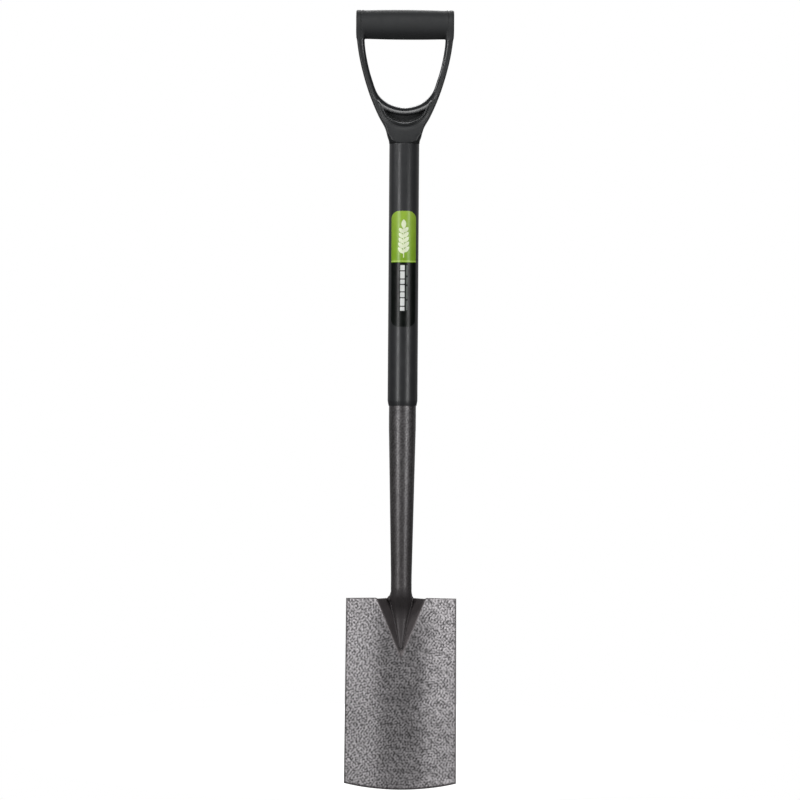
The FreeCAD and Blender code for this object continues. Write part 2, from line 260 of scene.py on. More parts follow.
def to_mesh(name, points, quads, attributes=None):
    """Mesh object from numpy points in mm and quads."""
    mesh = bpy.data.meshes.new(name)
    points = np.asarray(points, float) * MM
    quads = np.asarray(quads, np.int32)
    sides = quads.shape[1]
    mesh.vertices.add(len(points))
    mesh.vertices.foreach_set("co", points.ravel())
    mesh.loops.add(quads.size)
    mesh.loops.foreach_set("vertex_index", quads.ravel())
    mesh.polygons.add(len(quads))
    mesh.polygons.foreach_set("loop_start", np.arange(0, quads.size, sides, dtype=np.int32))
    mesh.update(calc_edges=True)
    mesh.validate()
    mesh.shade_smooth()
    for key, values in (attributes or {}).items():
        layer = mesh.attributes.new(key, "FLOAT", "POINT")
        layer.data.foreach_set("value", np.asarray(values, np.float32).ravel())
    obj = bpy.data.objects.new(name, mesh)
    bpy.context.scene.collection.objects.link(obj)
    return obj


def grid_quads(rows, columns, wrap=False, start=0, flip=False):
    last = columns if wrap else columns - 1
    r, c = np.meshgrid(np.arange(rows - 1), np.arange(last), indexing="ij")
    c1 = (c + 1) % columns
    quads = np.stack([r * columns + c, r * columns + c1,
                      (r + 1) * columns + c1, (r + 1) * columns + c], axis=-1).reshape(-1, 4)
    if flip:
        quads = quads[:, ::-1]
    return quads + start


def place(piece, slot, *nodes):
    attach(piece, "root")
    if nodes:
        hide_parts(*nodes)
    return piece


# ---------------------------------------------------------------- blade

def frog_depth(x, z):
    t = (z - FROG_TIP_Z) / (BLADE_TOP_Z - FROG_TIP_Z)
    across = np.sqrt(x * x + FROG_BLEND ** 2) - FROG_BLEND
    wall = FROG_WALL_SLOPE * (FROG_HALF_WIDTH * t - across)
    floor = FROG_FLOOR_TIP + (FROG_FLOOR_TOP - FROG_FLOOR_TIP) * t
    depth = smooth_min(wall, floor, 2 * FROG_BLEND)
    return 0.5 * (depth + np.sqrt(depth * depth + FROG_BLEND ** 2))


def blade_front(x, z):
    flank = smooth_max(np.abs(x) - DISH_FLAT, 0, DISH_ROUND)
    dish = DISH_SLOPE * (flank - smooth_max(-DISH_FLAT, 0, DISH_ROUND))
    return BLADE_CENTRE_Y - dish + frog_depth(x, z)


def edge_z(x):
    return EDGE_ARC_R - np.sqrt(EDGE_ARC_R ** 2 - x * x)


def make_blade():
    columns, rows = 165, 281
    u = np.linspace(-1, 1, columns)
    v = np.linspace(0, 1, rows)
    uu, vv = np.meshgrid(u, v)
    width = BLADE_BOTTOM_WIDTH + (BLADE_TOP_WIDTH - BLADE_BOTTOM_WIDTH) * vv
    x = uu * width / 2
    low = edge_z(x)
    frog = 1 - smoothstep(FROG_HALF_WIDTH - 0.5, FROG_HALF_WIDTH + 2.5, np.abs(x))
    top = BLADE_TOP_Z - FROG_EDGE_DROP * frog
    z = low + vv * (top - low)
    step = 0.3
    y = blade_front(x, z)
    nx = (blade_front(x + step, z) - blade_front(x - step, z)) / (2 * step)
    nz = (blade_front(x, z + step) - blade_front(x, z - step)) / (2 * step)
    length = np.sqrt(1 + nx * nx + nz * nz)
    nx, ny, nz = nx / length, -1 / length, nz / length

    rise = z - low
    side = width / 2 - np.abs(x)
    border = np.minimum(np.minimum(side, rise), top - z)
    sunk = smoothstep(0.06, 0.3, frog_depth(x, z))
    calm = smoothstep(0.0, 2.0, border) * (1 - 0.6 * sunk)
    relief = hammered(x, y, z)
    lift = HAMMER_LIFT * relief * calm
    bevel = BEVEL_DEPTH * np.clip(1 - rise / BEVEL_HEIGHT, 0, 1)
    roll = 0.5 * (1 - smoothstep(0.0, 1.2, border)) * (rise > 1.0)
    front = np.stack([x + nx * lift, y + ny * lift + bevel + roll, z + nz * lift], axis=-1)
    back_relief = hammered(x + 200, y, z)
    thick = SHEET + HAMMER_LIFT * back_relief * calm - roll
    back = np.stack([x - nx * thick, y - ny * thick, z - nz * thick], axis=-1)
    flat = 1 - smoothstep(0.0, 3.0, border)
    # close to the outline the sheet is cut square, so front and back edges line up
    back[..., 0] += (x - back[..., 0]) * flat
    back[..., 2] += (z - back[..., 2]) * flat
    points = np.concatenate([front.reshape(-1, 3), back.reshape(-1, 3)])
    count = rows * columns
    quads = [grid_quads(rows, columns), grid_quads(rows, columns, start=count, flip=True)]
    index = np.arange(count).reshape(rows, columns)
    loop = np.concatenate([index[0, :], index[1:, -1], index[-1, -2::-1], index[-2:0:-1, 0]])
    after = np.roll(loop, -1)
    quads.append(np.stack([loop, loop + count, after + count, after], axis=-1))
    tone = np.concatenate([(relief * calm).ravel(), (back_relief * calm).ravel()])
    # painted shade: the frog recess and thin strips along the cut outline and the bevelled bottom
    # edge get the paint's shade colour; the back gets the strips only
    outline = 1 - smoothstep(0.6, 1.6, border)
    ground = 1 - smoothstep(1.6, 3.0, rise)
    dark = np.maximum(np.maximum(sunk, 0.8 * outline), 0.75 * ground).ravel()
    rim = np.maximum(0.8 * outline, 0.75 * ground).ravel()
    obj = to_mesh("blade_sheet", points, np.concatenate(quads),
                  {"relief": tone, "dark": np.concatenate([dark, rim])})
    return place(obj, "blade_paint", "blade")


# ---------------------------------------------------------------- shaft

def make_tube():
    around = 132
    foot, swage_top = SWAGE[-1][0], SWAGE[0][0]
    shown_top = SLEEVE_BOTTOM_Z + 2
    zs = np.concatenate([np.arange(foot, swage_top, 0.8), np.arange(swage_top, shown_top, 0.95),
                         [520.0, TUBE_TOP_Z]])
    table = np.array(SWAGE)[::-1]
    taper = np.clip((zs - TAPER_BOTTOM_Z) / (TAPER_TOP_Z - TAPER_BOTTOM_Z), 0, 1)
    radius = NARROW_R + (TUBE_R - NARROW_R) * taper
    swaged = zs < swage_top
    front = np.where(swaged, hermite(table[:, 0], table[:, 1], zs), -radius)
    rear = np.where(swaged, hermite(table[:, 0], table[:, 2], zs), radius)
    half = np.where(swaged, hermite(table[:, 0], table[:, 3], zs), radius)
    angle = np.linspace(0, 2 * pi, around, endpoint=False)
    aa, zz = np.meshgrid(angle, zs)
    centre = ((front + rear) / 2)[:, None]
    deep = ((rear - front) / 2)[:, None]
    wide = half[:, None]
    cx, cy = np.sin(aa), -np.cos(aa)
    relief = hammered(wide * cx, centre + deep * cy, zz)
    shown = 1 - smoothstep(SLEEVE_BOTTOM_Z - 1, shown_top, zz)
    lift = HAMMER_LIFT * relief * shown
    x = (wide + lift) * cx
    y = centre + (deep + lift) * cy
    points = np.stack([x, y, zz], axis=-1).reshape(-1, 3)
    rows = len(zs)
    quads = grid_quads(rows, around, wrap=True)
    tip = len(points)
    points = np.concatenate([points, [[0, (front[0] + rear[0]) / 2, zs[0] - 1.0], [0, 0, zs[-1]]]])
    ring = np.arange(around)
    after = (ring + 1) % around
    base = (rows - 1) * around
    fan_low = np.stack([ring, after * 0 + tip, after], axis=-1)
    fan_high = np.stack([base + ring, base + after, after * 0 + tip + 1], axis=-1)
    relief_all = np.concatenate([(relief * shown).ravel(), [0, 0]])
    height = points[:, 2]
    # painted shade: the paint darkens towards the bottom of the tube and takes its full shade colour
    # inside the frog recess
    dark = 1 - 0.5 * smoothstep(232.0, swage_top, height) - 0.5 * smoothstep(swage_top, 440.0, height)
    obj = to_mesh("tube_skin", points, quads, {"relief": relief_all, "dark": dark})
    add_faces(obj, np.concatenate([fan_low, fan_high]))
    return place(obj, "tube_paint", "shaft_tube")


def add_faces(obj, triangles):
    bm = bmesh.new()
    bm.from_mesh(obj.data)
    bm.verts.ensure_lookup_table()
    for triangle in triangles:
        face = bm.faces.new([bm.verts[int(i)] for i in triangle])
        face.smooth = True
    bmesh.ops.recalc_face_normals(bm, faces=bm.faces)
    bm.to_mesh(obj.data)
    bm.free()


def swage_at(z):
    table = np.array(SWAGE)[::-1]
    return [float(hermite(table[:, 0], table[:, i], np.array([z]))[0]) for i in (1, 2, 3)]


def bead(name, centres, radii, pitch, node):
    """Rippled weld bead: rings along a smooth path with overlapping puddles."""
    centres = np.array(centres)
    run = np.concatenate([[0], np.cumsum(np.linalg.norm(np.diff(centres, axis=0), axis=1))])
    s = np.arange(0, run[-1], 0.5)
    path = np.stack([hermite(run, centres[:, i], s) for i in range(3)], axis=-1)
    size = hermite(run, radii, s)
    tangent = np.gradient(path, axis=0)
    tangent /= np.linalg.norm(tangent, axis=1)[:, None]
    reference = np.array([0, 1.0, 0.0])
    side = np.cross(tangent, reference)
    side /= np.linalg.norm(side, axis=1)[:, None]
    up = np.cross(side, tangent)
    around = 40
    angle = np.linspace(0, 2 * pi, around, endpoint=False)
    phase = (s / pitch)[:, None] + 0.35 * np.cos(angle)[None, :]
    ripple = 1 + 0.13 * (1 - 2 * np.abs((phase % 1.0) - 0.35) ** 0.8)
    near_end = (1 - np.minimum(s, s[::-1]) / size.mean()).clip(0, 1)
    ends = np.sqrt(np.clip(1 - near_end ** 2, 0.02, 1))
    r = (size * ends)[:, None] * ripple
    lump = value_noise(s[:, None] + 0 * angle, angle[None, :] * 2.5 + 0 * s[:, None], 2.0, 21)
    r = r * (0.93 + 0.14 * lump)
    ring = path[:, None, :] + r[..., None] * (np.cos(angle)[None, :, None] * side[:, None, :]
                                              + np.sin(angle)[None, :, None] * up[:, None, :])
    points = ring.reshape(-1, 3)
    rows = len(s)
    quads = grid_quads(rows, around, wrap=True)
    count = len(points)
    points = np.concatenate([points, [path[0], path[-1]]])
    around_index = np.arange(around)
    after = (around_index + 1) % around
    base = (rows - 1) * around
    relief = np.concatenate([(2 * lump - 1).ravel(), [0, 0]])
    # painted shade: the whole bead takes the paint's shade colour, like the shaded frog recess it
    # sits in
    obj = to_mesh(name, points, quads, {"relief": relief, "dark": 0 * relief + 1})
    add_faces(obj, np.concatenate([
        np.stack([around_index, after, after * 0 + count], axis=-1),
        np.stack([base + after, base + around_index, after * 0 + count + 1], axis=-1)]))
    return place(obj, "weld_paint", node)


def make_welds():
    sides = ((-1, LEFT_FILLET_R, "weld_left"), (1, RIGHT_FILLET_R, "weld_right"))
    for side, top_r, node in sides:
        centres, radii = [], []
        for z, share in WELD_RADII:
            front, rear, half = swage_at(z)
            middle = (front + rear) / 2
            radius = share * top_r if z > WELD_SHARED_Z else share
            centres.append((side * (half + 0.3 * radius), middle + 0.45 * (rear - middle), z))
            radii.append(radius)
        bead(node + "_bead", centres, radii, SIDE_RIPPLE, node)
    centres, radii = [], []
    for i in range(-6, 7):
        angle = radians(10 * i)
        centres.append((REAR_WELD_PATH_R * sin(angle), REAR_WELD_PATH_R * cos(angle) + 0.2,
                        BLADE_TOP_Z - FROG_EDGE_DROP + 0.4))
        radii.append(REAR_WELD_R - REAR_WELD_RADIUS_STEP * abs(i))
    bead("weld_rear_bead", centres, radii, REAR_RIPPLE, "weld_rear")


def lathe(name, profile, around):
    """Closed turned solid from (radius, z) points, first to last and back to first."""
    profile = np.array(profile, float)
    angle = np.linspace(0, 2 * pi, around, endpoint=False)
    r = profile[:, 0][:, None]
    points = np.stack([r * np.sin(angle), -r * np.cos(angle),
                       profile[:, 1][:, None] + 0 * angle], axis=-1).reshape(-1, 3)
    rows = len(profile)
    quads = grid_quads(rows, around, wrap=True)
    ring = np.arange(around)
    after = (ring + 1) % around
    base = (rows - 1) * around
    quads = np.concatenate([quads, np.stack([base + ring, base + after, after, ring], axis=-1)])
    return to_mesh(name, points, quads)


def rounded(profile, radius):
    """Rounds each corner of an open list of (radius, z) points."""
    out = []
    n = len(profile)
    for i, p in enumerate(profile):
        p = np.array(p, float)
        a = np.array(profile[i - 1], float) - p
        b = np.array(profile[(i + 1) % n], float) - p
        reach = min(radius, 0.45 * np.linalg.norm(a), 0.45 * np.linalg.norm(b))
        start = p + a / np.linalg.norm(a) * reach
        end = p + b / np.linalg.norm(b) * reach
        for t in np.linspace(0, 1, 5):
            out.append(tuple((1 - t) ** 2 * start + 2 * t * (1 - t) * p + t * t * end))
    return out


def make_sleeve():
    bore = TUBE_R + SLEEVE_CLEAR
    corners = [(bore, SLEEVE_BOTTOM_Z), (LIP_R, SLEEVE_BOTTOM_Z),
               (SLEEVE_R - 0.25, SLEEVE_BOTTOM_Z + LIP_HEIGHT),
               (SLEEVE_R, SLEEVE_BOTTOM_Z + LIP_HEIGHT + 1.5),
               (SLEEVE_R, SLEEVE_TOP_Z), (bore, SLEEVE_TOP_Z)]
    obj = lathe("sleeve_shell", rounded(corners, 0.5), 256)
    return place(obj, "sleeve_plastic", "shaft_sleeve")


# ---------------------------------------------------------------- handle

def dense_curve(points):
    points = np.array(points, float)
    run = np.concatenate([[0], np.cumsum(np.hypot(*np.diff(points, axis=0).T))])
    s = np.linspace(0, run[-1], OUTLINE_POINTS)
    return np.stack([hermite(run, points[:, 0], s), hermite(run, points[:, 1], s)], axis=-1)


def signed_distance(line, x, z):
    """Distance to an outline from inside (negative) to its outer, +X side."""
    best = np.full(x.shape, 1e9)
    sign = np.ones(x.shape)
    for (x0, z0), (x1, z1) in zip(line[:-1], line[1:]):
        dx, dz = x1 - x0, z1 - z0
        t = np.clip(((x - x0) * dx + (z - z0) * dz) / (dx * dx + dz * dz), 0, 1)
        ex, ez = x - x0 - t * dx, z - z0 - t * dz
        d = ex * ex + ez * ez
        closer = d < best - 1e-9
        best = np.where(closer, d, best)
        sign = np.where(closer, np.sign(dz * (x - x0) - dx * (z - z0)), sign)
    return np.sqrt(best) * sign


def round_and(a, b, radius):
    """Intersection of two fields with an edge of this radius."""
    return (np.minimum(np.maximum(a, b) + radius, 0)
            + np.hypot(np.maximum(a + radius, 0), np.maximum(b + radius, 0)) - radius)


OUTER_LINE = dense_curve(list(OUTER) + [(61.3, 985.0)])
OPENING_LINE = dense_curve([(-18.7, 864.0)] + list(OPENING) + [(51.6, 985.0)])


def handle_plan(x, z):
    """Front-view distances: to the outside outline and to the opening."""
    return signed_distance(OUTER_LINE, x, z), signed_distance(OPENING_LINE, x, z)


def pocket_line(ax, z, outer):
    """Distance to the line round the pocket below the saddle, negative inside it."""
    arc = np.hypot(ax, z - POCKET_LINE_Z - POCKET_LINE_R) - POCKET_LINE_R
    arc = np.where(z > POCKET_LINE_Z + POCKET_LINE_R, ax - POCKET_LINE_R, arc)
    return smooth_max(arc, outer + POCKET_LINE_RIM, 3.0)


def handle_field(x, y, z, outer, opening):
    ax, ay = np.abs(x), np.abs(y)
    line = pocket_line(ax, z, outer)
    low = 1 - smoothstep(864.0, 884.0, z)
    # the front stands back outside the pocket line, which leaves a proud bead inside it
    depth = hermite([p[1] for p in DEPTH], [p[0] for p in DEPTH], z)
    step = smoothstep(-0.6, 2.2, line) * (1.12 - 0.12 * smoothstep(2.2, 8.0, line))
    step = step * smoothstep(806.0, 836.0, z) * (1 - smoothstep(850.0, 872.0, z))
    depth = depth - BEAD_STEP * step
    # the arms have a chamfered inside edge; the saddle between them is a rounded bar
    chamfer = (ay - depth + CHAMFER_SLOPE * (ARM_CHAMFER - opening)) / np.hypot(1, CHAMFER_SLOPE)
    straight = smooth_max(smooth_max(-opening, ay - depth, 0.6), chamfer, 0.9)
    arms = low * round_and(-opening, ay - depth, SADDLE_R) + (1 - low) * straight
    arms = round_and(arms, outer, 0.8)
    arms = np.maximum(arms, round_and(outer, ay - depth, 2.4))
    # the neck grows from a circle, through a rounded square, into the flat web
    spread = smoothstep(NECK_Z, 858.0, z)
    a = NECK_R + 70 * spread ** 1.4
    b = NECK_R - 0.2 + 0.9 * spread
    power = 2 + 2.4 * smoothstep(NECK_Z - 0.5, 819.0, z)
    neck = (((ax / a) ** power + (ay / b) ** power) ** (1 / power) - 1) * np.minimum(a, b)
    arms = smooth_max(arms, neck, 0.8)
    cap = np.hypot(y, np.maximum(z - GRIP_Z, 0)) - CAP_R
    arms = round_and(arms, cap, CAP_ROUND)
    # pocket in front and behind, between the bead and the saddle
    bead = POCKET_BEAD - 2.0 * smoothstep(840.0, 854.0, z)
    pocket = smooth_max(line + bead, SADDLE_THICK - opening, 0.8)
    pocket = smooth_max(pocket, POCKET_FLOOR_Y - ay, 0.8)
    body = round_and(arms, -pocket, 2.6 - 1.8 * smoothstep(845.0, 852.0, z))
    # crossbar with its end caps
    inner = GRIP_HALF - CAP
    barrel_r = GRIP_END_R + (GRIP_R - GRIP_END_R) * (1 - np.minimum(ax / inner, 1) ** 2)
    radial = np.hypot(y, z - GRIP_Z)
    body = smooth_min(body, round_and(radial - barrel_r, ax - GRIP_HALF, CAP_ROUND), 1.0)
    seam = np.exp(-((ax - inner) / SEAM) ** 2) * (radial > 10) * smoothstep(943.0, 949.0, z)
    body = body + 0.8 * seam
    return np.maximum(body, NECK_Z - z)


def surface_net(field, origin, step):
    """Quad mesh of the zero level of a field sampled on a grid."""
    inside = field < 0
    shape = np.array(field.shape) - 1
    total = np.zeros(tuple(shape) + (3,))
    count = np.zeros(tuple(shape))
    corners = [(i, j, k) for i in (0, 1) for j in (0, 1) for k in (0, 1)]

    def view(array, c):
        return array[c[0]:c[0] + shape[0], c[1]:c[1] + shape[1], c[2]:c[2] + shape[2]]

    for a in corners:
        for axis in range(3):
            if a[axis]:
                continue
            b = tuple(a[i] + (i == axis) for i in range(3))
            fa, fb = view(field, a), view(field, b)
            cross = view(inside, a) != view(inside, b)
            t = np.where(cross, fa / np.where(cross, fa - fb, 1), 0)
            for i in range(3):
                total[..., i] += np.where(cross, a[i] + (t if i == axis else 0), 0)
            count += cross
    active = count > 0
    number = np.full(tuple(shape), -1, np.int64)
    number[active] = np.arange(active.sum())
    where = np.argwhere(active)
    points = (where + total[active] / count[active][:, None]) * step + origin
    quads = []
    for axis in range(3):
        u, v = [i for i in range(3) if i != axis]
        lo = [slice(None)] * 3
        hi = [slice(None)] * 3
        lo[axis] = slice(0, -1)
        hi[axis] = slice(1, None)
        change = inside[tuple(lo)] != inside[tuple(hi)]
        for i in (u, v):
            cut = [slice(None)] * 3
            cut[i] = slice(1, -1)
            keep = np.zeros(change.shape, bool)
            keep[tuple(cut)] = True
            change &= keep
        at = np.argwhere(change)
        forward = inside[tuple(at.T)]
        ring = []
        for du, dv in ((-1, -1), (0, -1), (0, 0), (-1, 0)):
            cell = at.copy()
            cell[:, u] += du
            cell[:, v] += dv
            ring.append(number[tuple(cell.T)])
        ring = np.stack(ring, axis=-1)
        if axis == 1:
            forward = ~forward
        ring[~forward] = ring[~forward][:, ::-1]
        quads.append(ring)
    return points, np.concatenate(quads)


def make_handle():
    step = 0.78
    xs = np.arange(-64.0, 64.0 + step, step)
    ys = np.arange(-21.5, 21.5 + step, step)
    zs = np.arange(811.0, 986.5, step)
    px, pz = np.meshgrid(xs, zs, indexing="ij")
    outer, opening = handle_plan(np.abs(px), pz)
    x, y, z = np.meshgrid(xs, ys, zs, indexing="ij")
    field = handle_field(x, y, z, outer[:, None, :], opening[:, None, :])
    points, quads = surface_net(field, np.array([xs[0], ys[0], zs[0]]), step)
    for _ in range(3):
        outer, opening = handle_plan(np.abs(points[:, 0]), points[:, 2])
        value = handle_field(*points.T, outer, opening)
        slope = []
        for axis in range(3):
            moved = points.copy()
            moved[:, axis] += 0.05
            o2, p2 = handle_plan(np.abs(moved[:, 0]), moved[:, 2])
            slope.append((handle_field(*moved.T, o2, p2) - value) / 0.05)
        slope = np.stack(slope, axis=-1)
        size = (slope ** 2).sum(axis=1).clip(0.25, None)
        shift = slope * (value / size)[:, None]
        reach = np.linalg.norm(shift, axis=1)[:, None].clip(1e-9, None)
        points = points - shift * np.minimum(1, 0.5 * step / reach)
    outer, opening = handle_plan(np.abs(points[:, 0]), points[:, 2])
    line = pocket_line(np.abs(points[:, 0]), points[:, 2], outer)
    height = points[:, 2]
    saddle = (1 - smoothstep(6.5, 8.5, opening)) * (1 - smoothstep(866.0, 880.0, height))
    bead = smoothstep(-6.5, -5.0, line) * (1 - smoothstep(-0.8, 0.2, line))
    bead = bead * (1 - smoothstep(848.0, 860.0, height))
    chamfer = 1 - smoothstep(3.0, 3.6, opening)
    polish = np.maximum(np.maximum(saddle, bead), chamfer) * (np.abs(points[:, 1]) > 8.0)
    matt = smoothstep(943.0, 947.0, height)
    obj = to_mesh("handle_moulding", points, quads, {"polish": polish * (1 - matt) - matt})
    place(obj, "yoke_plastic", "handle_yoke")
    plug = [(SPIGOT_BORE_R, SPIGOT_BOTTOM_Z), (SPIGOT_R - 1, SPIGOT_BOTTOM_Z),
            (SPIGOT_R, SPIGOT_BOTTOM_Z + 3), (SPIGOT_R, SPIGOT_TOP_Z), (SPIGOT_BORE_R, SPIGOT_TOP_Z)]
    spigot = lathe("handle_spigot", rounded(plug, 0.4), 96)
    place(spigot, "yoke_plastic")
    return obj


# ---------------------------------------------------------------- label and screw

def leaf(u, v, length, half):
    """Signed distance to a pointed leaf along +v from the origin."""
    r = (half * half + 0.25 * length * length) / (2 * half)
    d = r - half
    return np.hypot(np.abs(u) + d, v - length / 2) - r


def bar(u, v, u0, u1, v0, v1, r=0.3):
    qu = np.abs(u - (u0 + u1) / 2) - (u1 - u0) / 2 + r
    qv = np.abs(v - (v0 + v1) / 2) - (v1 - v0) / 2 + r
    return np.hypot(np.maximum(qu, 0), np.maximum(qv, 0)) + np.minimum(np.maximum(qu, qv), 0) - r


def sprig(u, v):
    """Generic plant sprig for the green part of the label."""
    shape = bar(u, v, -0.6, 0.6, 670.0, 708.0)
    shape = np.minimum(shape, leaf(u, v - 706.0, 12.0, 3.0))
    for i in range(5):
        base = 675.0 + 6.4 * i
        for side in (-1, 1):
            tilt = radians(42)
            du, dv = u * side, v - base - 1.2 * (side > 0)
            a = du * cos(tilt) - dv * sin(tilt)
            b = du * sin(tilt) + dv * cos(tilt)
            shape = np.minimum(shape, leaf(a, b, 10.5 - 0.5 * i, 2.4))
    return shape


def bold_bars(u, v):
    """Plain broken stripe on the black part of the label."""
    shape = np.full(u.shape, 50.0)
    top = PRINT_TOP_Z
    for length in (6.5, 9.0, 5.5, 8.0, 6.0, 9.5, 5.0):
        shape = np.minimum(shape, bar(u, v, -4.0, 1.6, top - length, top, 0.7))
        top -= length + 1.3
    return shape


def fine_bars(u, v):
    """Thinner, darker stripe beside the bold one."""
    shape = np.full(u.shape, 50.0)
    top = PRINT_TOP_Z
    for length in (13.0, 9.0, 16.0, 12.0):
        shape = np.minimum(shape, bar(u, v, 3.2, 5.4, top - length, top, 0.5))
        top -= length + 2.2
    return shape


def make_label():
    rows, columns = 420, 96
    z = LABEL_BOTTOM_Z + (LABEL_TOP_Z - LABEL_BOTTOM_Z) * (0.5 - 0.5 * np.cos(
        np.linspace(0, pi, rows)))
    z = 0.5 * z + 0.5 * np.linspace(LABEL_BOTTOM_Z, LABEL_TOP_Z, rows)
    end = np.minimum(z - LABEL_BOTTOM_Z, LABEL_TOP_Z - z)
    into = np.clip(LABEL_CORNER_R - end, 0, LABEL_CORNER_R)
    half = LABEL_HALF_WIDTH - LABEL_CORNER_R + np.sqrt(LABEL_CORNER_R ** 2 - into ** 2)
    limit = np.arcsin(half / SLEEVE_R)
    t = np.linspace(-1, 1, columns)
    angle = limit[:, None] * t[None, :]
    zz = z[:, None] + 0 * t
    skin = SLEEVE_R + FILM_RAISE
    front = np.stack([skin * np.sin(angle), -skin * np.cos(angle), zz], axis=-1)
    under = SLEEVE_R - 0.05
    back = np.stack([under * np.sin(angle), -under * np.cos(angle), zz], axis=-1)
    count = rows * columns
    index = np.arange(count).reshape(rows, columns)
    loop = np.concatenate([index[0, :], index[1:, -1], index[-1, -2::-1], index[-2:0:-1, 0]])
    after = np.roll(loop, -1)
    quads = np.concatenate([grid_quads(rows, columns),
                            grid_quads(rows, columns, start=count, flip=True),
                            np.stack([loop, loop + count, after + count, after], axis=-1)])
    u = angle * SLEEVE_R
    attributes = {
        "split": np.tile((zz - LABEL_SPLIT_Z).ravel(), 2),
        "sprig": np.tile(sprig(u, zz).ravel(), 2),
        "bold": np.tile(bold_bars(u, zz).ravel(), 2),
        "fine": np.tile(fine_bars(u, zz).ravel(), 2),
    }
    obj = to_mesh("label_film", np.concatenate([front.reshape(-1, 3), back.reshape(-1, 3)]),
                  quads, attributes)
    return place(obj, "label_film", "shaft_label")


def make_screw():
    """Countersunk head with a six-lobed socket, at the back of the sleeve."""
    around = 96
    angle = np.linspace(0, 2 * pi, around, endpoint=False)
    lobes = 1.25 + 0.22 * np.cos(6 * angle)
    rings = []
    face = SLEEVE_R - 0.12
    for r, y in ((2.1, 7.6), (2.1, face - 2.4), (3.95, face - 0.35), (4.05, face - 0.12),
                 (3.9, face), (3.2, face + 0.02), (2.2, face + 0.02)):
        rings.append(np.stack([r * np.cos(angle), y + 0 * angle, r * np.sin(angle)], axis=-1))
    for grow, y in ((1.12, face + 0.0), (1.0, face - 0.15), (0.96, face - 1.6)):
        r = lobes * grow
        rings.append(np.stack([r * np.cos(angle), y + 0 * angle, r * np.sin(angle)], axis=-1))
    points = np.array(rings)
    points[..., 2] += SCREW_Z
    rows = len(points)
    flat = points.reshape(-1, 3)
    quads = grid_quads(rows, around, wrap=True)
    count = len(flat)
    flat = np.concatenate([flat, [[0, 7.6, SCREW_Z], [0, face - 1.6, SCREW_Z]]])
    ring = np.arange(around)
    after = (ring + 1) % around
    base = (rows - 1) * around
    obj = to_mesh("screw_head", flat, quads)
    add_faces(obj, np.concatenate([
        np.stack([ring, after * 0 + count, after], axis=-1),
        np.stack([base + ring, base + after, after * 0 + count + 1], axis=-1)]))
    return place(obj, "screw_steel", "handle_screw")


# ---------------------------------------------------------------- materials

class Shader:
    """Small helper round a node tree."""

    def __init__(self, name):
        self.material = bpy.data.materials.new(name)
        self.material.use_nodes = True
        self.tree = self.material.node_tree
        self.out = self.tree.nodes["Principled BSDF"]

    def node(self, kind, **values):
        node = self.tree.nodes.new(kind)
        for key, value in values.items():
            setattr(node, key, value)
        return node

    def link(self, a, b):
        self.tree.links.new(a, b)

    def set(self, **values):
        for key, value in values.items():
            self.out.inputs[key.replace("_", " ")].default_value = value

    def coordinates(self):
        return self.node("ShaderNodeTexCoord").outputs["Object"]

    def noise(self, scale, detail, roughness=0.5):
        node = self.node("ShaderNodeTexNoise")
        node.inputs["Scale"].default_value = scale
        node.inputs["Detail"].default_value = detail
        node.inputs["Roughness"].default_value = roughness
        self.link(self.coordinates(), node.inputs["Vector"])
        return node.outputs["Fac"]

    def attribute(self, name):
        return self.node("ShaderNodeAttribute", attribute_name=name).outputs["Fac"]

    def scale(self, value, low, high, to_low, to_high):
        node = self.node("ShaderNodeMapRange")
        node.inputs["From Min"].default_value = low
        node.inputs["From Max"].default_value = high
        node.inputs["To Min"].default_value = to_low
        node.inputs["To Max"].default_value = to_high
        self.link(value, node.inputs["Value"])
        return node.outputs["Result"]

    def maths(self, operation, a, b):
        node = self.node("ShaderNodeMath", operation=operation)
        for socket, value in ((node.inputs[0], a), (node.inputs[1], b)):
            if isinstance(value, (int, float)):
                socket.default_value = value
            else:
                self.link(value, socket)
        return node.outputs[0]

    def mix(self, factor, a, b):
        node = self.node("ShaderNodeMix", data_type="RGBA")
        self.link(factor, node.inputs["Factor"])
        for socket, value in ((node.inputs[6], a), (node.inputs[7], b)):
            if isinstance(value, tuple):
                socket.default_value = value + (1.0,)
            else:
                self.link(value, socket)
        return node.outputs[2]

    def bump(self, height, strength, distance_mm):
        node = self.node("ShaderNodeBump")
        node.inputs["Strength"].default_value = strength
        node.inputs["Distance"].default_value = distance_mm * MM
        self.link(height, node.inputs["Height"])
        return node.outputs["Normal"]


def hammered_paint(name, light, dark, rough, shade_colour, coat):
    """Two-tone hammered paint; its third colour is painted shade, mixed in by the dark attribute
    where the paint lies dark and smooth in shade.
    """
    s = Shader(name)
    tone = s.scale(s.attribute("relief"), -1.0, 0.9, 0.0, 1.0)
    fine = s.noise(900, 3, 0.6)
    broad = s.noise(22, 3)
    # painted shade: the dark attribute mixes the two-tone paint toward its shade colour
    colour = s.mix(s.attribute("dark"), s.mix(tone, dark, light), shade_colour)
    shade = s.scale(broad, 0.3, 0.7, 0.9, 1.08)
    shade = s.maths("MULTIPLY", shade, s.scale(fine, 0.3, 0.7, 0.88, 1.12))
    multiply = s.node("ShaderNodeVectorMath", operation="SCALE")
    s.link(colour, multiply.inputs[0])
    s.link(shade, multiply.inputs["Scale"])
    s.link(multiply.outputs[0], s.out.inputs["Base Color"])
    uneven = s.scale(s.noise(60, 4), 0.3, 0.7, rough - 0.05, rough + 0.07)
    duller = s.maths("MULTIPLY", s.attribute("dark"), 0.12)
    s.link(s.maths("ADD", uneven, duller), s.out.inputs["Roughness"])
    normal = s.bump(s.noise(650, 3, 0.55), 0.25, 0.05)
    s.link(normal, s.out.inputs["Normal"])
    s.set(Metallic=0.75)
    s.link(s.scale(s.attribute("dark"), 0.0, 1.0, coat, 0.4 * coat), s.out.inputs["Coat Weight"])
    s.set(Coat_Roughness=0.3)
    return s


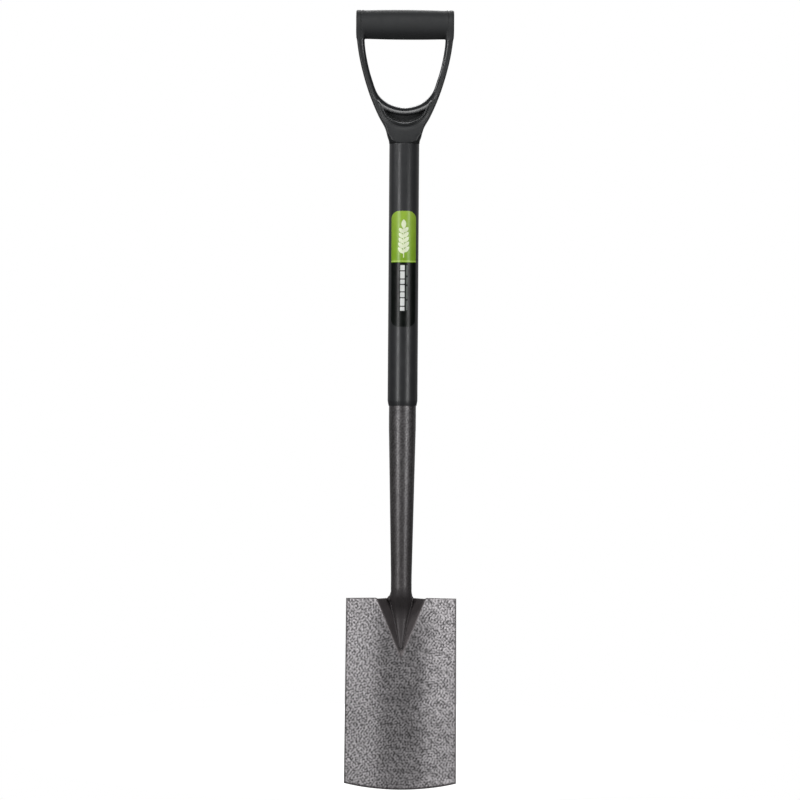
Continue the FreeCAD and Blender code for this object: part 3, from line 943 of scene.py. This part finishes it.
def plastic(name, colour, rough, grain, grain_mm):
    s = Shader(name)
    broad = s.noise(35, 4)
    s.link(s.mix(broad, tuple(c * 0.85 for c in colour), tuple(c * 1.15 for c in colour)),
           s.out.inputs["Base Color"])
    uneven = s.scale(s.noise(90, 4), 0.3, 0.7, rough - 0.04, rough + 0.05)
    polish = s.maths("MULTIPLY", s.attribute("polish"), -0.24)
    s.link(s.maths("ADD", uneven, polish), s.out.inputs["Roughness"])
    s.link(s.bump(s.noise(grain, 3, 0.55), 0.4, grain_mm), s.out.inputs["Normal"])
    return s


def label_material():
    s = Shader("label_print")
    height = s.attribute("split")
    green = s.scale(height, -0.08, 0.08, 0.0, 1.0)
    fade = s.scale(height, 0.0, 64.0, 0.0, 1.0)
    leafy = s.mix(fade, (0.235, 0.435, 0.022), (0.33, 0.52, 0.05))
    trim = s.scale(s.maths("ABSOLUTE", s.maths("SUBTRACT", height, 1.6), 0.0), 0.7, 0.5, 0.0, 1.0)
    leafy = s.mix(trim, leafy, (0.55, 0.75, 0.16))
    colour = s.mix(green, (0.0015, 0.003, 0.0022), leafy)
    for name, ink in (("sprig", (0.88, 0.95, 0.68)), ("bold", (0.78, 0.80, 0.78)),
                      ("fine", (0.10, 0.115, 0.105))):
        mask = s.scale(s.attribute(name), PRINT_EDGE, -PRINT_EDGE, 0.0, 1.0)
        colour = s.mix(mask, colour, ink)
    mottle = s.scale(s.noise(120, 3), 0.3, 0.7, 0.93, 1.07)
    multiply = s.node("ShaderNodeVectorMath", operation="SCALE")
    s.link(colour, multiply.inputs[0])
    s.link(mottle, multiply.inputs["Scale"])
    s.link(multiply.outputs[0], s.out.inputs["Base Color"])
    s.link(s.scale(s.noise(140, 3), 0.3, 0.7, 0.28, 0.36), s.out.inputs["Roughness"])
    s.link(s.scale(green, 0.0, 1.0, 0.36, 0.5), s.out.inputs["Specular IOR Level"])
    s.link(s.bump(s.noise(160, 2), 0.12, 0.1), s.out.inputs["Normal"])
    return s


def steel_material():
    s = Shader("zinc_steel")
    colour = s.mix(s.noise(400, 4), (0.34, 0.34, 0.33), (0.52, 0.52, 0.50))
    s.link(colour, s.out.inputs["Base Color"])
    s.link(s.scale(s.noise(700, 3), 0.3, 0.7, 0.25, 0.42), s.out.inputs["Roughness"])
    s.link(s.bump(s.noise(1200, 3), 0.2, 0.05), s.out.inputs["Normal"])
    s.set(Metallic=1.0)
    return s


# ---------------------------------------------------------------- studio

def studio():
    scene = bpy.context.scene
    scene.view_settings.view_transform = "Standard"
    world = bpy.data.worlds.new("studio")
    scene.world = world
    world.use_nodes = True
    tree = world.node_tree
    # white paper all round for the camera; the light it gives comes mostly from behind
    background = tree.nodes["Background"]
    background.inputs["Color"].default_value = (1, 1, 1, 1)
    direction = tree.nodes.new("ShaderNodeTexCoord")
    split = tree.nodes.new("ShaderNodeSeparateXYZ")
    ramp = tree.nodes.new("ShaderNodeMapRange")
    ramp.interpolation_type = "SMOOTHSTEP"
    ramp.inputs["From Min"].default_value = WORLD_RAMP[0]
    ramp.inputs["From Max"].default_value = WORLD_RAMP[1]
    ramp.inputs["To Min"].default_value = WORLD_FRONT
    ramp.inputs["To Max"].default_value = WORLD_BACK
    tree.links.new(direction.outputs["Generated"], split.inputs[0])
    tree.links.new(split.outputs["Y"], ramp.inputs["Value"])
    below = tree.nodes.new("ShaderNodeMapRange")
    below.interpolation_type = "SMOOTHSTEP"
    below.inputs["From Min"].default_value = -0.2
    below.inputs["From Max"].default_value = 0.1
    below.inputs["To Min"].default_value = WORLD_BELOW
    below.inputs["To Max"].default_value = 1.0
    tree.links.new(split.outputs["Z"], below.inputs["Value"])
    product = tree.nodes.new("ShaderNodeMath")
    product.operation = "MULTIPLY"
    tree.links.new(ramp.outputs["Result"], product.inputs[0])
    tree.links.new(below.outputs["Result"], product.inputs[1])
    tree.links.new(product.outputs[0], background.inputs["Strength"])
    white = tree.nodes.new("ShaderNodeBackground")
    white.inputs["Color"].default_value = (1, 1, 1, 1)
    path = tree.nodes.new("ShaderNodeLightPath")
    mix = tree.nodes.new("ShaderNodeMixShader")
    tree.links.new(path.outputs["Is Camera Ray"], mix.inputs[0])
    tree.links.new(background.outputs[0], mix.inputs[1])
    tree.links.new(white.outputs[0], mix.inputs[2])
    tree.links.new(mix.outputs[0], tree.nodes["World Output"].inputs["Surface"])

    def panel(name, azimuth, elevation, distance, width, height, lean, power):
        light = bpy.data.lights.new(name, "AREA")
        light.shape = "RECTANGLE"
        light.size = width
        light.size_y = height
        light.energy = power
        obj = bpy.data.objects.new(name, light)
        a, e = radians(azimuth), radians(elevation)
        target = Vector((0, 0, LIGHT_AIM_Z))
        obj.location = target + distance * Vector((sin(a) * cos(e), -cos(a) * cos(e), sin(e)))
        aim = (obj.location - target).to_track_quat("Z", "Y").to_matrix()
        obj.rotation_euler = (aim @ Matrix.Rotation(radians(lean), 3, "Z")).to_euler()
        scene.collection.objects.link(obj)

    for spec in PANELS:
        panel(*spec)

    bm = bmesh.new()
    rings = []
    for r in (0.02, 0.15, 0.3, 0.45, 0.55):
        rings.append([bm.verts.new((r * cos(a), FLOOR_Y + r * sin(a), FLOOR_Z))
                      for a in np.linspace(0, 2 * pi, 96, endpoint=False)])
    bm.faces.new(rings[0])
    for a, b in zip(rings[:-1], rings[1:]):
        for i in range(96):
            j = (i + 1) % 96
            bm.faces.new((a[i], b[i], b[j], a[j]))
    mesh = bpy.data.meshes.new("floor")
    bm.to_mesh(mesh)
    bm.free()
    floor = bpy.data.objects.new("floor", mesh)
    scene.collection.objects.link(floor)
    s = Shader("pale_floor")
    s.link(s.mix(s.noise(3, 2), (0.30, 0.30, 0.30), (0.34, 0.34, 0.34)), s.out.inputs["Base Color"])
    s.set(Roughness=0.9)
    s.out.inputs["Emission Color"].default_value = (1, 1, 1, 1)
    seen = s.node("ShaderNodeLightPath").outputs["Is Camera Ray"]
    s.link(s.scale(seen, 0.0, 1.0, 0.0, FLOOR_GLOW), s.out.inputs["Emission Strength"])
    mesh.materials.append(s.material)

    camera = bpy.data.cameras.new("camera")
    camera.sensor_width = 36.0
    camera.lens = 36.0 * CAMERA_DISTANCE / FRAME_WIDTH
    camera.clip_end = 50
    obj = bpy.data.objects.new("camera", camera)
    scene.collection.objects.link(obj)
    upright = Matrix.Rotation(pi / 2, 4, "X")
    roll = Matrix.Rotation(radians(CAMERA_ROLL), 4, "Z")
    obj.matrix_world = Matrix.Translation((CAMERA_X, -CAMERA_DISTANCE, CAMERA_Z)) @ upright @ roll
    scene.camera = obj


def give(material, *objects):
    for obj in objects:
        obj.data.materials.clear()
        obj.data.materials.append(material)


blade = make_blade()
tube = make_tube()
make_welds()
sleeve = make_sleeve()
handle = make_handle()
label = make_label()
screw = make_screw()

# the third colour of each hammered paint is its painted shade colour
blade_paint = hammered_paint("hammered_blade", (0.68, 0.65, 0.67), (0.10, 0.096, 0.098), 0.36,
                             (0.120, 0.108, 0.110), 0.1)
tube_paint = hammered_paint("hammered_tube", (0.15, 0.142, 0.147), (0.06, 0.057, 0.058), 0.47,
                            (0.085, 0.077, 0.079), 0.6)
sleeve_plastic = plastic("sleeve_black", (0.028, 0.029, 0.031), 0.34, 500, 0.04)
yoke_plastic = plastic("yoke_black", (0.020, 0.0212, 0.0225), 0.42, 700, 0.05)
give(blade_paint.material, blade)
give(tube_paint.material, tube, *[bpy.data.objects[n] for n in
                                  ("weld_left_bead", "weld_right_bead", "weld_rear_bead")])
give(sleeve_plastic.material, sleeve)
give(yoke_plastic.material, handle, bpy.data.objects["handle_spigot"])
give(label_material().material, label)
give(steel_material().material, screw)
studio()
